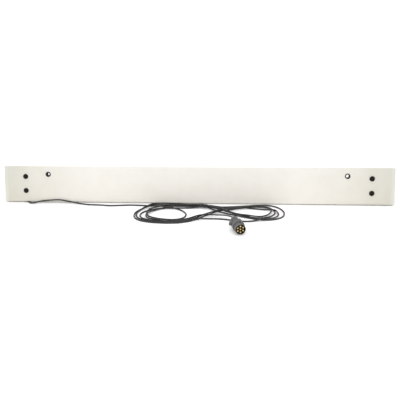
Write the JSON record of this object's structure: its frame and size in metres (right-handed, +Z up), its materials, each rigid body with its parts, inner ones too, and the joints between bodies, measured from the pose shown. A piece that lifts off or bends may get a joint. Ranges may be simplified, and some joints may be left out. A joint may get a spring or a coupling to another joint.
{
  "type": "trailer lighting board",
  "caption": "Long hollow plastic board that leans back on lamps bolted behind its ends, with see-through hanging grommets and a looped black lead ending in a round multi-pin plug.",
  "frame": {"origin": "bottom centre of the board and its lamps together, on the ground they stand on", "axes": "+X along the board, +Y from the plain face towards the lamps, +Z up; the plain face leans back towards +Y"},
  "size_m": [1.524, 0.3654, 0.139],
  "materials": {
    "ivory_pvc": "satin",
    "cap_grey": "satin",
    "black_plastic": "satin",
    "plug_grey": "matte",
    "black_rubber": "matte",
    "cord_black": "satin",
    "lens_red": "gloss",
    "lens_amber": "gloss",
    "zinc_steel": "satin",
    "bright_metal": "polished",
    "bulb_glass": "gloss",
    "brass": "satin"
  },
  "bodies": {
    "board": {"board_shell": "ivory_pvc", "end_cap_left": "cap_grey", "end_cap_right": "cap_grey", "notch_trim": "ivory_pvc", "link_cable": "cord_black", "cable_clips": "black_plastic", "clip_screws": "zinc_steel", "lead_stub": "cord_black", "lead_inlet": "black_rubber", "plug_body": "plug_grey", "plug_nose": "plug_grey", "nose_liner": "black_plastic", "plug_key": "plug_grey", "plug_lug": "plug_grey", "plug_screws": "zinc_steel", "contact_carrier": "black_plastic", "outer_contacts": "brass", "centre_contact": "brass", "gland_seal": "black_rubber", "cord_lead": "cord_black", "cord_loops": "cord_black", "cord_tail": "cord_black", "hang_grommet_left": "black_rubber", "lamp_base_left": "black_plastic", "lamp_seal_left": "black_rubber", "lens_red_left": "lens_red", "lens_amber_left": "lens_amber", "lens_screws_left": "zinc_steel", "reflector_left": "bright_metal", "bulb_holders_left": "black_plastic", "bulbs_left": "bulb_glass", "lamp_bolts_left": "zinc_steel", "bolt_sleeves_left": "zinc_steel", "bolt_washers_left": "black_rubber", "cap_nuts_left": "black_plastic", "hang_grommet_right": "black_rubber", "lamp_base_right": "black_plastic", "lamp_seal_right": "black_rubber", "lens_red_right": "lens_red", "lens_amber_right": "lens_amber", "lens_screws_right": "zinc_steel", "reflector_right": "bright_metal", "bulb_holders_right": "black_plastic", "bulbs_right": "bulb_glass", "lamp_bolts_right": "zinc_steel", "bolt_sleeves_right": "zinc_steel", "bolt_washers_right": "black_rubber", "cap_nuts_right": "black_plastic"},
    "gland_nut": {"gland_nut": "plug_grey"}
  },
  "joints": [
    {"name": "gland_nut_turn", "type": "hinge", "parent": "board", "child": "gland_nut", "pos_m": [0.15667, -0.22408, 0.0215], "axis": [-0.2924, 0.9563, 0], "range_deg": [0, 720]}
  ]
}
